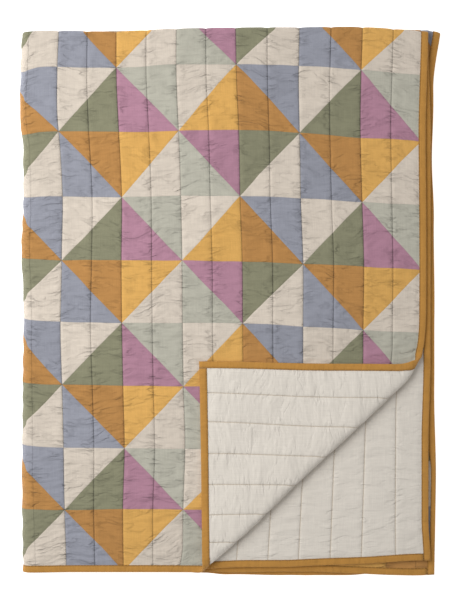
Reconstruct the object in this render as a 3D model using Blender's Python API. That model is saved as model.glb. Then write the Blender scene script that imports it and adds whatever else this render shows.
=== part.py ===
"""A quilted patchwork blanket folded in quarters, with the corner of its top layer turned back.

The cloth is modelled flat, as it is sewn, and then folded. A point of the flat cloth has u across it,
v along it and s above its middle surface, on the patchwork side. The two folds cross at u = 0, v = 0.
First the corner is turned back, then the top fold lays the far half under the near half, and last the
side fold lays the left half under the right half. From the top the layers are near right, far right,
far left and near left. Units are metres, +Z is up, and the origin is on the surface below the middle
of the folded blanket.
"""

import math

import bmesh
import bpy

# The flat cloth, measured from the two folds to its bound edges.
RIGHT_WIDTH = 0.683
LEFT_WIDTH = 0.689
NEAR_LENGTH = 0.911
FAR_LENGTH = 0.902

# Quilting: seams in the middle and at the sides of each column of patches.
FIRST_SEAM = 0.0645
SEAM_PITCH_RIGHT = 0.0509
SEAM_PITCH_LEFT = 0.04775
SEAM_HALF = 0.0011
PUFF_HALF = 0.0023
PRESSED_SHARE = 0.2

# The binding is a strip folded over the edge of the cloth.
BINDING_WIDTH = 0.0123
BINDING_WALL = 0.0008
BINDING_HALF = 0.00225
EDGE_HALF = 0.00115
BINDING_ROUND = 0.0013
EDGE_GAP = 0.0005
CORNER_GAP = 0.0004
EDGE_SLOPE = 0.008

# Layers and folds, at the middle surface of the cloth.
LAYER_PITCH = 0.0052
LIP_RADIUS = LAYER_PITCH / 2
PAIR_PITCH = 2 * LAYER_PITCH
SIDE_RADIUS = 0.008
SIDE_SETTLE = 0.075
UNDER_PAIR_HEIGHT = LIP_RADIUS + PUFF_HALF
SIDE_CENTRE = SIDE_RADIUS + LIP_RADIUS + PUFF_HALF
LIP_SKEW = 0.0195
SIDE_SKEW = 0.0133
SLIP_LENGTH = 0.18

# The turned corner: the two sides of the corner that are turned back are CORNER_SIDE long. Its fold is a
# flattened roll, TURN_FLATNESS times as wide as it is high.
CORNER_SIDE = 0.3725
TURN_HALF_LOW = 0.0055
TURN_HALF_HIGH = 0.0060
TURN_FLATNESS = 1.9
TURN_STEPS = 10
TURN_SETTLE = 0.10
TURN_SETTLE_STEPS = 4
TURN_SHEAR = 0.08

# How the layers lie: small turns and waves in the plane, and soft lumps in height.
TOP_PAIR_TURN = 0.0195
TOP_PAIR_SAG = 0.015
TOP_PAIR_SAG_START = 0.40
FAR_BOW = 0.016
ROW_BOW = 0.0053
LUMP_HEIGHT = 0.0009
LUMP_ACROSS = 0.31
LUMP_ALONG = 0.62
LIP_OFFSET = 0.0025
LIP_DROOP = 0.010
LIP_DROOP_START = 0.655
LIP_DROOP_WIDTH = 0.045
LIP_DROOP_LENGTH = 0.08

# Distance down from the top fold, and how far the right edge of the under pair strays there.
UNDER_EDGE = (
    (0.00, 0.0090),
    (0.10, 0.0022),
    (0.21, -0.0004),
    (0.32, 0.0044),
    (0.48, 0.0075),
    (0.60, 0.0088),
    (0.76, 0.0136),
    (0.95, 0.0130),
)
UNDER_EDGE_START = 0.45

# How far the turned corner slides across and up, in rows of places along its upper edge, from its tip to
# its fold. The rows go down from that edge to its lowest point.
FLAP_SLIDE_ACROSS = (
    (-0.0013, 0.0000, -0.0030),
    (-0.0040, -0.0040, -0.0060),
    (-0.0070, -0.0115, -0.0110),
    (-0.0105, -0.0130, -0.0130),
    (-0.0140, -0.0150, -0.0150),
)
FLAP_SLIDE_UP = (
    (0.0011, -0.0082, -0.0050),
    (0.0050, -0.0090, -0.0060),
    (-0.0035, -0.0115, -0.0100),
    (-0.0080, -0.0100, -0.0100),
    (0.0000, -0.0060, -0.0080),
)
TURN_EASE = 0.05
FLAP_END_SLIDE = (-0.0050, 0.0125)
FLAP_END_REACH = 0.025

# How far the second layer slides: its seams across by u, its right edge across by v, its bound end up by u.
SECOND_ACROSS = ((0.30, 0.0), (0.34, -0.021), (0.47, -0.016), (0.57, -0.0095), (0.645, 0.0), (0.70, 0.0))
SECOND_EDGE = ((0.56, 0.0), (0.70, -0.0035), (0.83, -0.0035), (0.90, 0.0))
SECOND_UP = ((0.36, 0.0), (0.47, -0.004), (0.57, -0.0035), (0.66, 0.0))

# How far the bound ends of the two lowest layers slide up, by the distance from the side fold, and how much
# further the third layer does.
LOWEST_UP = ((0.25, 0.0), (0.36, -0.006), (0.47, -0.0075), (0.64, -0.0055), (0.69, -0.005))
THIRD_UP = ((0.36, 0.0), (0.46, 0.003), (0.60, 0.003), (0.67, 0.0008))

# The place of the two folds' outermost lines in the blanket's own frame.
SIDE_FOLD_X = -0.34917
TOP_FOLD_Y = 0.45046

# Grid spacing of the solids.
ROW_SHARES = (0.067, 0.133, 0.2, 0.4, 0.6, 0.8)
NOSE_SPACING = 0.0037
NOSE_FROM = FIRST_SEAM - 2 * SEAM_PITCH_RIGHT
NOSE_TO = FIRST_SEAM - SEAM_PITCH_RIGHT
RISE_TO = 0.1154
ROUND_CHANNEL = (0.0, 0.14, 0.5, 0.86)
PRESSED_CHANNEL = (0.0, PRESSED_SHARE, 1 - PRESSED_SHARE)

QUILT_COLOUR = (0.78, 0.70, 0.62, 1)
BINDING_COLOUR = (0.42, 0.23, 0.065, 1)


def mix(a, b, share):
    """The value that lies that share of the way from a to b."""
    return a + (b - a) * share


def ramp(value):
    """0 below 0, 1 above 1, and a smooth rise between."""
    t = min(1.0, max(0.0, value))
    return t * t * (3 - 2 * t)


def mixed_point(a, b, share):
    """The point that lies that share of the way from a to b."""
    return tuple(mix(x, y, share) for x, y in zip(a, b))


def table_value(rows, at):
    """A value read from a short table of (place, value) rows, with smooth joins."""
    for (low, first), (high, second) in zip(rows, rows[1:]):
        if at < high:
            return mix(first, second, ramp((at - low) / (high - low)))
    return rows[-1][1]


def grid_value(rows, row, column):
    """A value read between the numbers of a small table, by smooth curves through them."""
    picks = []
    for place, count in ((row, len(rows)), (column, len(rows[0]))):
        first = min(max(math.floor(place), 0), count - 2)
        t = min(max(place - first, 0.0), 1.0)
        weights = (
            (-t + 2 * t**2 - t**3) / 2,
            (2 - 5 * t**2 + 3 * t**3) / 2,
            (t + 4 * t**2 - 3 * t**3) / 2,
            (t**3 - t**2) / 2,
        )
        picks.append([(min(max(first + k - 1, 0), count - 1), weight) for k, weight in enumerate(weights)])
    return sum(rows[i][j] * down * across for i, down in picks[0] for j, across in picks[1])


def seam_lines():
    """The u of every quilting seam, from left to right."""
    to_left = int((NOSE_FROM + LEFT_WIDTH - BINDING_WIDTH) / SEAM_PITCH_LEFT)
    to_right = int((RIGHT_WIDTH - BINDING_WIDTH - NOSE_FROM) / SEAM_PITCH_RIGHT)
    left = [NOSE_FROM - step * SEAM_PITCH_LEFT for step in range(to_left, 0, -1)]
    return left + [NOSE_FROM + step * SEAM_PITCH_RIGHT for step in range(to_right + 1)]


SEAMS = seam_lines()
CHANNEL_ENDS = [-LEFT_WIDTH + BINDING_WIDTH, *SEAMS, RIGHT_WIDTH - BINDING_WIDTH]


def puff(u):
    """How far the wadding swells at u, from 0 on a seam to 1. The half that lies beneath is pressed flat."""
    for low, high in zip(CHANNEL_ENDS, CHANNEL_ENDS[1:]):
        if low <= u <= high:
            t = (u - low) / (high - low)
            if u < NOSE_FROM:
                return min(1.0, min(t, 1 - t) / PRESSED_SHARE)
            return 1 - abs(2 * t - 1) ** 3
    return 0.0


def half_thickness(u, v):
    """Half the cloth's thickness: thin on a seam and under the binding, thick between."""
    inside = min(u + LEFT_WIDTH, RIGHT_WIDTH - u, v + NEAR_LENGTH, FAR_LENGTH - v)
    swell = ramp((inside - BINDING_WIDTH) / EDGE_SLOPE)
    return mix(EDGE_HALF, mix(SEAM_HALF, PUFF_HALF, puff(u)), swell)


def turn_place(u, v):
    """(towards, along): the place towards the near right corner, and along the fold that turns it back."""
    across, up = u - RIGHT_WIDTH, v + NEAR_LENGTH
    return (across - up) / math.sqrt(2), (across + up) / math.sqrt(2)


def turn_roll(along):
    """(half the roll's height, the cloth's length round it, where it starts), larger towards its high end."""
    half_fold = CORNER_SIDE / math.sqrt(2)
    half = mix(TURN_HALF_LOW, TURN_HALF_HIGH, (along + half_fold) / (2 * half_fold))
    length = math.pi * half * math.sqrt((1 + TURN_FLATNESS**2) / 2)
    return half, length, -half_fold - length / 2


def turn_knots(along):
    """Distances from the corner, in order, where the turned corner's profile changes direction."""
    _, length, start = turn_roll(along)
    knots = [start + length * step / TURN_STEPS for step in range(TURN_STEPS + 1)]
    knots += [knots[-1] + TURN_SETTLE * step / TURN_SETTLE_STEPS for step in range(1, TURN_SETTLE_STEPS + 1)]
    return knots


def turned_profile(towards, along, s):
    """(place towards the corner, height) on the turned corner's profile, s off the middle surface."""
    half, round_length, start = turn_roll(along)
    if towards <= start:
        return towards, s
    past = towards - start - round_length
    if past <= 0:
        angle = math.pi * (towards - start) / round_length
        lean_x, lean_z = math.sin(angle) / TURN_FLATNESS, -math.cos(angle)
        lean = math.hypot(lean_x, lean_z)
        reach = TURN_FLATNESS * half * math.sin(angle)
        return start + reach - s * lean_x / lean, half * (1 - math.cos(angle)) - s * lean_z / lean
    share = min(1.0, past / TURN_SETTLE)
    drop = 2 * half - LAYER_PITCH
    height = LAYER_PITCH + drop * (1 + math.cos(math.pi * share)) / 2
    slope = -drop * math.pi / (2 * TURN_SETTLE) * math.sin(math.pi * share)
    length = math.hypot(1, slope)
    return start - past - s * slope / length, height - s / length


def turn_corner(u, v, s):
    """(u, v, s) on the near right layer after its corner is turned back over the 45 degree fold."""
    towards, along = turn_place(u, v)
    knots = turn_knots(along)
    if towards <= knots[0]:
        return u, v, s
    place, height = turned_profile(towards, along, s)
    for low, high in zip(knots, knots[1:]):
        if low < towards < high:
            share = (towards - low) / (high - low)
            ends = turned_profile(low, along, s), turned_profile(high, along, s)
            place, height = mixed_point(*ends, share)
    along -= TURN_SHEAR * max(0.0, knots[0] - place)
    return (
        RIGHT_WIDTH + (place + along) / math.sqrt(2),
        -NEAR_LENGTH + (along - place) / math.sqrt(2),
        height,
    )


def slide(u, v):
    """(across, up): how far the laid cloth has slid from its straight place at a point of the flat cloth."""
    towards, along = turn_place(u, v)
    share = ramp((towards - turn_roll(along)[2]) / TURN_EASE + 1)
    row, column = 4 * (RIGHT_WIDTH - u) / CORNER_SIDE, 2 * (v + NEAR_LENGTH) / CORNER_SIDE
    end = math.hypot(u - RIGHT_WIDTH, v + NEAR_LENGTH - CORNER_SIDE) / FLAP_END_REACH
    pull = math.exp(-end * end)
    across = share * grid_value(FLAP_SLIDE_ACROSS, row, column) + pull * FLAP_END_SLIDE[0]
    up = share * grid_value(FLAP_SLIDE_UP, row, column) + pull * FLAP_END_SLIDE[1]
    across += table_value(SECOND_ACROSS, u) * ramp((v - 0.35) / 0.2) * (1 - 1.1 * (0.863 - v) / 0.3)
    across += table_value(SECOND_EDGE, v) * ramp((u - 0.6) / 0.07)
    up += table_value(SECOND_UP, u) * ramp((v - 0.7) / 0.15)
    up += table_value(LOWEST_UP, -u) * ramp((abs(v) - 0.6) / 0.28)
    up += table_value(THIRD_UP, -u) * ramp((v - 0.6) / 0.28)
    return across, up


def lip_profile(m, s):
    """(y, n) across the top fold, m from the fold's line. n is the height off the middle of the pair."""
    quarter = math.pi / 2 * LIP_RADIUS
    if abs(m) < quarter:
        angle = m / LIP_RADIUS
        reach = LIP_RADIUS + s
        return reach * math.cos(angle) - LIP_RADIUS, reach * math.sin(angle)
    return -(abs(m) - quarter) - LIP_RADIUS, math.copysign(LIP_RADIUS + s, m)


def lip_knots():
    """Flat distances from the top fold's line where its profile changes direction."""
    quarter = math.pi / 2 * LIP_RADIUS
    return [-quarter, -quarter / 2, 0.0, quarter / 2, quarter]


def fold_top(m, s):
    """(y, n) after the top fold, straight between its knots."""
    for low, high in zip(lip_knots(), lip_knots()[1:]):
        if low < m < high:
            share = (m - low) / (high - low)
            return mixed_point(lip_profile(low, s), lip_profile(high, s), share)
    return lip_profile(m, s)


def fold_side(q, m, n, middle):
    """(x, z, share of the top pair) after the side fold. q is the flat distance from the fold's line."""
    radius = SIDE_RADIUS + middle * ramp(abs(m) / SLIP_LENGTH)
    angle = q / radius
    if abs(angle) <= math.pi / 2:
        reach = SIDE_RADIUS + n
        x = SIDE_CENTRE - reach * math.cos(angle)
        z = UNDER_PAIR_HEIGHT + SIDE_RADIUS + reach * math.sin(angle)
        return x, z, (1 + math.sin(angle)) / 2
    run = abs(q) - math.pi / 2 * radius
    if q < 0:
        return SIDE_CENTRE + run, UNDER_PAIR_HEIGHT - n, 0.0
    share = min(1.0, run / SIDE_SETTLE)
    drop = 2 * SIDE_RADIUS - PAIR_PITCH
    height = UNDER_PAIR_HEIGHT + PAIR_PITCH + drop * (1 + math.cos(math.pi * share)) / 2
    slope = -drop * math.pi / (2 * SIDE_SETTLE) * math.sin(math.pi * share)
    length = math.hypot(1, slope)
    return SIDE_CENTRE + run - n * slope / length, height + n / length, 1.0


def settle(x, y, z, top):
    """The point where it lies at last, after the layers have strayed a little from their straight places."""
    down = -y
    far = x / RIGHT_WIDTH
    sag = max(0.0, x - TOP_PAIR_SAG_START) / (RIGHT_WIDTH - TOP_PAIR_SAG_START)
    top_x = -SIDE_SKEW * down * far * far
    top_y = TOP_PAIR_TURN * x - TOP_PAIR_SAG * sag * sag - ROW_BOW * math.sin(math.pi * down / NEAR_LENGTH)
    under_x = table_value(UNDER_EDGE, down) * ramp((x - UNDER_EDGE_START) / (RIGHT_WIDTH - UNDER_EDGE_START))
    droop = max(0.0, x - LIP_DROOP_START) / LIP_DROOP_WIDTH
    fading = math.exp(-max(0.0, down) / LIP_DROOP_LENGTH)
    under_y = LIP_OFFSET * ramp(x / UNDER_EDGE_START) - LIP_DROOP * droop**2 * fading
    wave = math.sin(2 * math.pi * x / LUMP_ACROSS + 1) * math.sin(2 * math.pi * down / LUMP_ALONG)
    return (
        SIDE_FOLD_X + x + mix(under_x, top_x, top),
        TOP_FOLD_Y + y + mix(under_y, top_y, top),
        z + top * LUMP_HEIGHT * (1 + wave),
    )


def folded(u, v, s):
    """The place of a point of the flat cloth once the blanket is folded."""
    across, up = slide(u, v)
    u, v, s = turn_corner(u, v, s)
    if u > 0 and v > 0:
        v += FAR_BOW * math.sin(math.pi * u / RIGHT_WIDTH) * v / FAR_LENGTH
    m = LIP_SKEW * u - v
    y, n = fold_top(m, s)
    middle = fold_top(m, 0.0)[1]
    x, z, top = fold_side(u + SIDE_SKEW * abs(m), m, n, middle)
    return settle(x + across, y + up, z, top)


def row_lines():
    """(v, share of the top fold's skew) of each row of the grid between the two end bindings, near to far."""
    slope_end = BINDING_WIDTH + EDGE_SLOPE
    near, far = -NEAR_LENGTH + slope_end, FAR_LENGTH - slope_end
    rows = [(near - EDGE_SLOPE, 0), (near, 0)]
    rows += [(near * share, 0) for share in reversed(ROW_SHARES)]
    rows += [(-m, 1) for m in reversed(lip_knots())]
    rows += [(far * share, 0) for share in ROW_SHARES]
    return [*rows, (far, 0), (far + EDGE_SLOPE, 0)]


def column_lines(right_shares, left_shares):
    """The u of each column line between the side bindings, with close lines round the side fold.

    The shares say where each channel has its lines. Where the cloth eases down from the fold it has them all.
    """
    lines = [-LEFT_WIDTH + BINDING_WIDTH, -LEFT_WIDTH + BINDING_WIDTH + EDGE_SLOPE]
    for low, high in zip(CHANNEL_ENDS, CHANNEL_ENDS[1:]):
        shares = ROUND_CHANNEL if high < RISE_TO else right_shares
        if high <= NOSE_FROM:
            shares = left_shares
        elif low < NOSE_TO:
            count = round((high - low) / NOSE_SPACING)
            shares = [step / count for step in range(count)]
        lines += [mix(low, high, share) for share in shares]
    lines += [RIGHT_WIDTH - BINDING_WIDTH - EDGE_SLOPE, RIGHT_WIDTH - BINDING_WIDTH]
    return spaced(lines)


def spaced(lines):
    """The lines in order, without any that nearly meets the one before."""
    kept = []
    for line in sorted(lines):
        if not kept or line - kept[-1] > 0.0005:
            kept.append(line)
    return kept


def material(name, colour, roughness):
    """A plain cloth material."""
    made = bpy.data.materials.new(name)
    made.use_nodes = True
    shader = made.node_tree.nodes["Principled BSDF"]
    shader.inputs["Base Color"].default_value = colour
    shader.inputs["Roughness"].default_value = roughness
    return made


def placed_grid(across, along, place):
    """A grid of that many points across and along, each moved to place(i, j)."""
    bm = bmesh.new()
    bmesh.ops.create_grid(bm, x_segments=across - 1, y_segments=along - 1, size=0.5)
    for vert in bm.verts:
        i = round((vert.co.x + 0.5) * (across - 1))
        j = round((vert.co.y + 0.5) * (along - 1))
        vert.co = place(i, j)
    return bm


def turn_line(knot, along):
    """The flat (u, v) of the turned corner's given knot."""
    towards = turn_knots(along)[knot]
    return RIGHT_WIDTH + (towards + along) / math.sqrt(2), -NEAR_LENGTH + (along - towards) / math.sqrt(2)


def cut_at_turn(bm):
    """Cuts a flat mesh along the lines where the turned corner's profile changes direction."""
    for knot in range(len(turn_knots(0))):
        start, end = turn_line(knot, -0.25), turn_line(knot, 0.25)
        bmesh.ops.bisect_plane(
            bm,
            geom=bm.verts[:] + bm.edges[:] + bm.faces[:],
            dist=1e-6,
            plane_co=(*start, 0),
            plane_no=(end[1] - start[1], start[0] - end[0], 0),
        )


def folded_object(name, bm, finish, collection):
    """Cuts and folds a flat closed mesh, whose z is s, and makes it an object."""
    bmesh.ops.recalc_face_normals(bm, faces=bm.faces[:])
    cut_at_turn(bm)
    bmesh.ops.triangulate(bm, faces=bm.faces[:])
    for vert in bm.verts:
        vert.co = folded(*vert.co)
    mesh = bpy.data.meshes.new(name)
    bm.to_mesh(mesh)
    bm.free()
    mesh.materials.append(finish)
    mesh.shade_smooth()
    made = bpy.data.objects.new(name, mesh)
    collection.objects.link(made)


def quilted_cloth(finish, collection):
    """The pieced and quilted cloth: one sheet with soft channels, thin under the binding."""
    edge = BINDING_WALL + EDGE_GAP
    rows = [(-NEAR_LENGTH + edge, 0), *row_lines(), (FAR_LENGTH - edge, 0)]
    columns = [-LEFT_WIDTH + edge, *column_lines(ROUND_CHANNEL, PRESSED_CHANNEL), RIGHT_WIDTH - edge]

    def lower_face(i, j):
        u = columns[i]
        v = rows[j][0] + rows[j][1] * LIP_SKEW * u
        return u, v, -half_thickness(u, v)

    bm = placed_grid(len(columns), len(rows), lower_face)
    upper = bmesh.ops.extrude_face_region(bm, geom=bm.faces[:], use_keep_orig=True)
    for element in upper["geom"]:
        if isinstance(element, bmesh.types.BMVert):
            element.co.z = -element.co.z
    folded_object("quilt", bm, finish, collection)


def binding_section():
    """(distance in from the outer edge, s) of the points round the binding's U-shaped section."""
    inner = BINDING_HALF - BINDING_WALL
    upper = [
        (BINDING_WALL, inner),
        (BINDING_WIDTH, inner),
        (BINDING_WIDTH, BINDING_HALF - BINDING_ROUND / 4),
        (BINDING_WIDTH - BINDING_ROUND, BINDING_HALF),
        (BINDING_ROUND, BINDING_HALF),
        (0.0, BINDING_HALF / 2),
    ]
    return upper + [(inwards, -s) for inwards, s in reversed(upper)]


def binding_strip(name, stations, place, finish, collection):
    """A strip folded over one edge. place gives (u, v) for a station and a distance in from the edge."""
    section = binding_section()

    def strip_point(i, j):
        inwards, s = section[i % len(section)]
        return *place(stations[j], inwards), s

    bm = placed_grid(len(section) + 1, len(stations), strip_point)
    bmesh.ops.remove_doubles(bm, verts=bm.verts[:], dist=1e-6)
    bmesh.ops.holes_fill(bm, edges=[edge for edge in bm.edges if edge.is_boundary])
    folded_object(name, bm, finish, collection)


def bindings(finish, collection):
    """The four strips: the two at the sides run the full length, and the two at the ends butt on them."""
    sides = [(-NEAR_LENGTH, 0), *row_lines(), (FAR_LENGTH, 0)]
    start, end = -LEFT_WIDTH + BINDING_WIDTH + CORNER_GAP, RIGHT_WIDTH - BINDING_WIDTH - CORNER_GAP
    across = column_lines((0.0, 0.5), (0.0,))
    ends = [start, *(u for u in across if start + 0.001 < u < end - 0.001), end]

    def side_place(edge, sign):
        def place(station, inwards):
            u = edge - sign * inwards
            return u, station[0] + station[1] * LIP_SKEW * u
        return place

    binding_strip("binding_right", sides, side_place(RIGHT_WIDTH, 1), finish, collection)
    binding_strip("binding_left", sides, side_place(-LEFT_WIDTH, -1), finish, collection)
    binding_strip("binding_near", ends, lambda u, inwards: (u, inwards - NEAR_LENGTH), finish, collection)
    binding_strip("binding_far", ends, lambda u, inwards: (u, FAR_LENGTH - inwards), finish, collection)


def main():
    for obj in list(bpy.data.objects):
        bpy.data.objects.remove(obj)
    collection = bpy.data.collections.new("folded_quilt")
    bpy.context.scene.collection.children.link(collection)
    quilted_cloth(material("quilted_cotton", QUILT_COLOUR, 0.9), collection)
    bindings(material("binding_cotton", BINDING_COLOUR, 0.85), collection)


main()
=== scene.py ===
"""The looks of a quilted patchwork blanket, folded in quarters with a corner turned back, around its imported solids.

The cloth is laid flat, as it is sewn, and then folded by the same sizes as the solids: u runs across the flat cloth,
v along it, and s is the height above its middle surface, on the patchwork side. All sizes are metres.
"""

from __future__ import annotations

import logging
import math
from dataclasses import dataclass
from enum import Enum
from typing import Mapping, Sequence, Union

import bpy
import numpy as np
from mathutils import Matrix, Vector

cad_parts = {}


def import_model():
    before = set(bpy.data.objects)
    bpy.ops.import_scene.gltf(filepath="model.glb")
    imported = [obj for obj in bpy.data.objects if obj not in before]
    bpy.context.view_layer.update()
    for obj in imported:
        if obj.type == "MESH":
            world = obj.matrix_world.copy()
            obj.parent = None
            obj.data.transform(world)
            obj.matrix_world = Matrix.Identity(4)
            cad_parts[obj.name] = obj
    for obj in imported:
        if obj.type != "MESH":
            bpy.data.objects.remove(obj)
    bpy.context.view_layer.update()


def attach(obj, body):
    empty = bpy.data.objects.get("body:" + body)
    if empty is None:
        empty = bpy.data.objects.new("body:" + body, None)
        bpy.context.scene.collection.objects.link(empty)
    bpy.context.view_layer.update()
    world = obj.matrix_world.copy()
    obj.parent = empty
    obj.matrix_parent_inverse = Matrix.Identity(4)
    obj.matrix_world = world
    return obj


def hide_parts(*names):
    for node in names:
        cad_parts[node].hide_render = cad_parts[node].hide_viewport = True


LOG = logging.getLogger("folded_quilt")
Array = np.ndarray
Socket = bpy.types.NodeSocket
Value = Union[Socket, float, tuple]
Table = tuple[tuple[float, ...], ...]
UV_NAME = "cloth"
BODY = "root"

# The patches are numbered from these at the side and top folds, so that no number is below zero.
FIRST_COLUMN = 8
FIRST_ROW = 16


class Side(Enum):
    """The two faces of the cloth, by the sign of s."""

    FRONT = 1
    BACK = -1


class Tone(Enum):
    """The dyed cottons of the patches and the backing, as linear colours."""

    CREAM = (0.665, 0.585, 0.497)
    BLUE = (0.300, 0.308, 0.358)
    OCHRE = (0.475, 0.238, 0.074)
    GOLD = (0.700, 0.395, 0.110)
    MAUVE = (0.430, 0.225, 0.300)
    SAGE = (0.475, 0.460, 0.385)
    GREEN = (0.245, 0.240, 0.155)
    BACKING = (0.745, 0.690, 0.615)
    BINDING = (0.505, 0.250, 0.056)


def ramp(value: Array | float) -> Array:
    """0 below 0, 1 above 1, and a smooth rise between."""
    t = np.clip(value, 0.0, 1.0)
    return t * t * (3 - 2 * t)


def rise(value: Array | float, span: tuple[float, float]) -> Array:
    """A ramp that starts at the first number of a pair and grows over the length of the second."""
    return ramp((value - span[0]) / span[1])


def smooth_table(rows: Table, at: Array) -> Array:
    """Values read from a short table of (place, value) rows, with smooth joins.

    Args:
        rows: The table, in order of place.
        at: The places to read.

    Returns:
        One value for each place.
    """
    result = np.full(np.shape(at), rows[0][1], dtype=float)
    for (low, first), (high, second) in zip(rows, rows[1:]):
        result += (second - first) * ramp((at - low) / (high - low))
    return result


def through_corners(rows: Table, row: Array, column: Array) -> Array:
    """Values read from a table of rows and columns, by smooth curves through its numbers.

    Args:
        rows: The table.
        row: Places down it, in rows.
        column: Places across it, in columns.

    Returns:
        One value for each place.
    """
    table = np.array(rows, dtype=float)
    picks = []
    for place, count in ((row, table.shape[0]), (column, table.shape[1])):
        first = np.clip(np.floor(place), 0, count - 2).astype(int)
        t = np.clip(place - first, 0.0, 1.0)
        weights = (
            (-t + 2 * t**2 - t**3) / 2,
            (2 - 5 * t**2 + 3 * t**3) / 2,
            (t + 4 * t**2 - 3 * t**3) / 2,
            (t**3 - t**2) / 2,
        )
        picks.append([(np.clip(first + k - 1, 0, count - 1), weight) for k, weight in enumerate(weights)])
    return sum(table[i, j] * down * across for i, down in picks[0] for j, across in picks[1])


def both(across: Table, up: Table, row: Array, column: Array) -> Array:
    """A table of slides across and one of slides up, read at the same places."""
    return np.stack([through_corners(table, row, column) for table in (across, up)], -1)


@dataclass(frozen=True)
class Cut:
    """The flat cloth, from its two fold lines to its bound edges, and its lines of sewing."""

    right: float = 0.683
    left: float = 0.689
    near: float = 0.911
    far: float = 0.902
    first_seam: float = 0.0645
    pitch_right: float = 0.0509
    pitch_left: float = 0.04775
    row_start: float = 0.0605
    row_pitch: float = 0.106
    binding: float = 0.0123
    corner_side: float = 0.3725
    edge_slope: float = 0.008
    edge_half: float = 0.00115
    seam_half: float = 0.0010
    puff_half: float = 0.0023
    puff_power: int = 5
    stretch_reach: float = 0.02
    stretch_share: float = 0.75

    @property
    def nose_seam(self) -> float:
        """The seam left of the side fold, where the left pitch begins."""
        return self.first_seam - 2 * self.pitch_right

    def seams(self) -> list[float]:
        """The u of every quilting seam.

        Returns:
            The seams from left to right.
        """
        to_left = int((self.nose_seam + self.left - self.binding) / self.pitch_left)
        to_right = int((self.right - self.binding - self.nose_seam) / self.pitch_right)
        left = [self.nose_seam - step * self.pitch_left for step in range(to_left, 0, -1)]
        return left + [self.nose_seam + step * self.pitch_right for step in range(to_right + 1)]

    def pitch(self, u: Array) -> Array:
        """The distance between seams, which is smaller left of the side fold."""
        return np.where(u > self.nose_seam, self.pitch_right, self.pitch_left)

    def column(self, u: Array) -> Array:
        """The place across in patches, so that seams lie at whole and half numbers."""
        return (u - self.nose_seam) / (2 * self.pitch(u))

    def row(self, v: Array) -> Array:
        """The place down in patches, so that the row seams lie at whole numbers."""
        return 1 + (-v - self.row_start) / self.row_pitch

    def seam_distance(self, u: Array) -> Array:
        """The distance to the nearest quilting seam."""
        across = 2 * self.column(u)
        return np.abs(across - np.round(across)) * self.pitch(u)

    def inside(self, u: Array, v: Array) -> Array:
        """The distance in from the nearest edge."""
        return np.minimum.reduce([u + self.left, self.right - u, v + self.near, self.far - v])

    def stretched(self, u: Array) -> Array:
        """1 on the quilting seam that the side fold pulls nearly flat, 0 away from it."""
        seam = self.nose_seam + self.pitch_right
        return ramp(1 - np.abs(u - seam) / self.stretch_reach)

    def skewed(self, u: Array, row: Array, skew: float) -> Array:
        """The v of places in a row of the cloth, which follows the skewed top fold where it is near it."""
        reach = np.where(row < 0, self.near, self.far)
        return row + skew * u * (1 - np.abs(row) / reach)

    def half_thickness(self, u: Array, v: Array) -> Array:
        """Half the cloth's thickness: thin on a seam and under the binding, and swollen between.

        Args:
            u: Places across the flat cloth.
            v: Places along it.

        Returns:
            One value for each place.
        """
        t = self.seam_distance(u) / self.pitch(u)
        puff = 1 - np.abs(1 - 2 * t) ** self.puff_power
        puff = puff + (1 - puff) * self.stretch_share * self.stretched(u)
        swell = ramp((self.inside(u, v) - self.binding) / self.edge_slope)
        channel = self.seam_half + (self.puff_half - self.seam_half) * puff
        return self.edge_half + (channel - self.edge_half) * swell


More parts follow.
